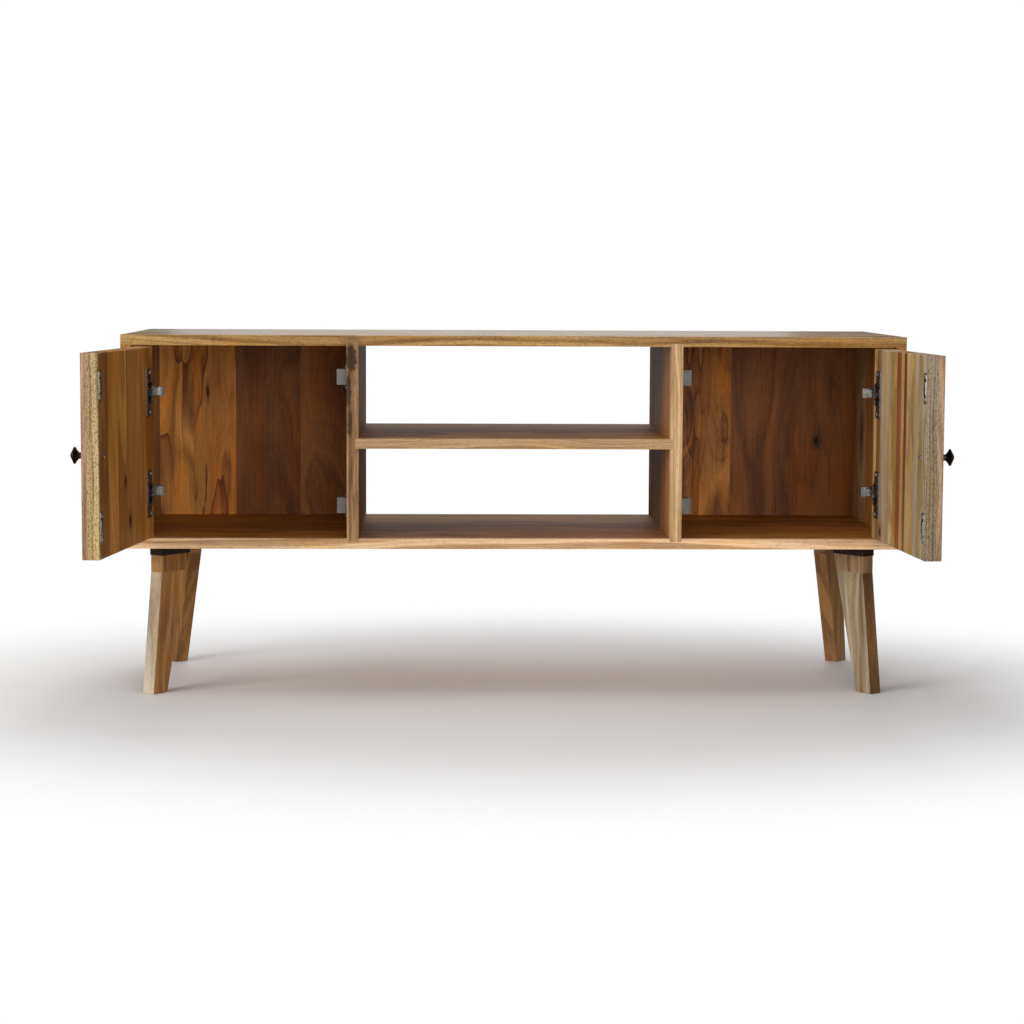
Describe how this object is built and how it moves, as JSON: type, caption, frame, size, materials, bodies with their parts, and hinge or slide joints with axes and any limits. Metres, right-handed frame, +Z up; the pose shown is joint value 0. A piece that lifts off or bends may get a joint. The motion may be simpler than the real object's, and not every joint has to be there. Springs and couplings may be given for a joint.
{
  "type": "television stand",
  "caption": "Low solid-wood television stand on splayed board legs, with an open shelved centre bay between compartments closed by inset hinged doors, stored open.",
  "frame": {"origin": "on the floor, under the middle of the whole stand's box with the doors open as stored; the carcass's middle plane is at X = +0.009 m and its front face at Y = -0.040 m", "axes": "+X to the right seen from the front, +Y from the front to the back, +Z up"},
  "size_m": [1.2528, 0.7194, 0.555],
  "materials": {
    "back_wood": "satin clear lacquer, upright planks",
    "bronze": "dark antique bronze, lightly worn",
    "carcass_wood": "satin clear lacquer on light solid hardwood, some brown figure",
    "catch_plastic": "grey moulded plastic",
    "door_facing_wood": "satin clear lacquer",
    "door_stave_wood": "satin clear lacquer on narrow glued staves of mixed colour",
    "dowel_wood": "raw turned hardwood",
    "hinge_nickel": "nickel plated pressed steel",
    "leg_head_wood": "satin clear lacquer",
    "leg_wood": "satin clear lacquer",
    "magnet_ferrite": "sintered ferrite, dark grey",
    "pad_wood": "dark stained",
    "plate_steel": "zinc plated, a little tarnished",
    "screw_steel": "zinc plated"
  },
  "bodies": {
    "carcass": {"back_panel_screws": "screw_steel", "bottom_panel": "carcass_wood", "carcass_dowels": "dowel_wood", "catch_magnets": "magnet_ferrite", "catch_pole_plates": "plate_steel", "catch_screws": "screw_steel", "centre_shelf": "carcass_wood", "front_left_leg": "leg_wood", "front_left_leg_head": "leg_head_wood", "front_left_leg_pad": "pad_wood", "front_right_leg": "leg_wood", "front_right_leg_head": "leg_head_wood", "front_right_leg_pad": "pad_wood", "hinge_plate_screws": "screw_steel", "left_back_panel": "back_wood", "left_divider": "carcass_wood", "left_lower_catch": "catch_plastic", "left_lower_hinge_arm": "hinge_nickel", "left_lower_hinge_plate": "hinge_nickel", "left_side_panel": "carcass_wood", "left_upper_catch": "catch_plastic", "left_upper_hinge_arm": "hinge_nickel", "left_upper_hinge_plate": "hinge_nickel", "leg_hanger_bolts": "screw_steel", "leg_pad_screws": "screw_steel", "rear_left_leg": "leg_wood", "rear_left_leg_head": "leg_head_wood", "rear_left_leg_pad": "pad_wood", "rear_right_leg": "leg_wood", "rear_right_leg_head": "leg_head_wood", "rear_right_leg_pad": "pad_wood", "right_back_panel": "back_wood", "right_divider": "carcass_wood", "right_lower_catch": "catch_plastic", "right_lower_hinge_arm": "hinge_nickel", "right_lower_hinge_plate": "hinge_nickel", "right_side_panel": "carcass_wood", "right_upper_catch": "catch_plastic", "right_upper_hinge_arm": "hinge_nickel", "right_upper_hinge_plate": "hinge_nickel", "top_panel": "carcass_wood"},
    "left_door": {"left_door_board": "door_stave_wood", "left_door_facing": "door_facing_wood", "left_door_knob": "bronze", "left_hinge_cup_screws": "screw_steel", "left_hinge_cups": "hinge_nickel", "left_hinge_links": "hinge_nickel", "left_knob_screw": "screw_steel", "left_strike_plates": "plate_steel", "left_strike_screws": "screw_steel"},
    "right_door": {"right_door_board": "door_stave_wood", "right_door_facing": "door_facing_wood", "right_door_knob": "bronze", "right_hinge_cup_screws": "screw_steel", "right_hinge_cups": "hinge_nickel", "right_hinge_links": "hinge_nickel", "right_knob_screw": "screw_steel", "right_strike_plates": "plate_steel", "right_strike_screws": "screw_steel"}
  },
  "joints": [
    {"name": "left_door_swing", "type": "hinge", "parent": "carcass", "child": "left_door", "pos_m": [-0.5685, -0.04, 0.3915], "axis": [0, 0, 1], "range_deg": [-8, 97]},
    {"name": "right_door_swing", "type": "hinge", "parent": "carcass", "child": "right_door", "pos_m": [0.5865, -0.04, 0.3915], "axis": [0, 0, -1], "range_deg": [-11.6, 93.4]}
  ]
}
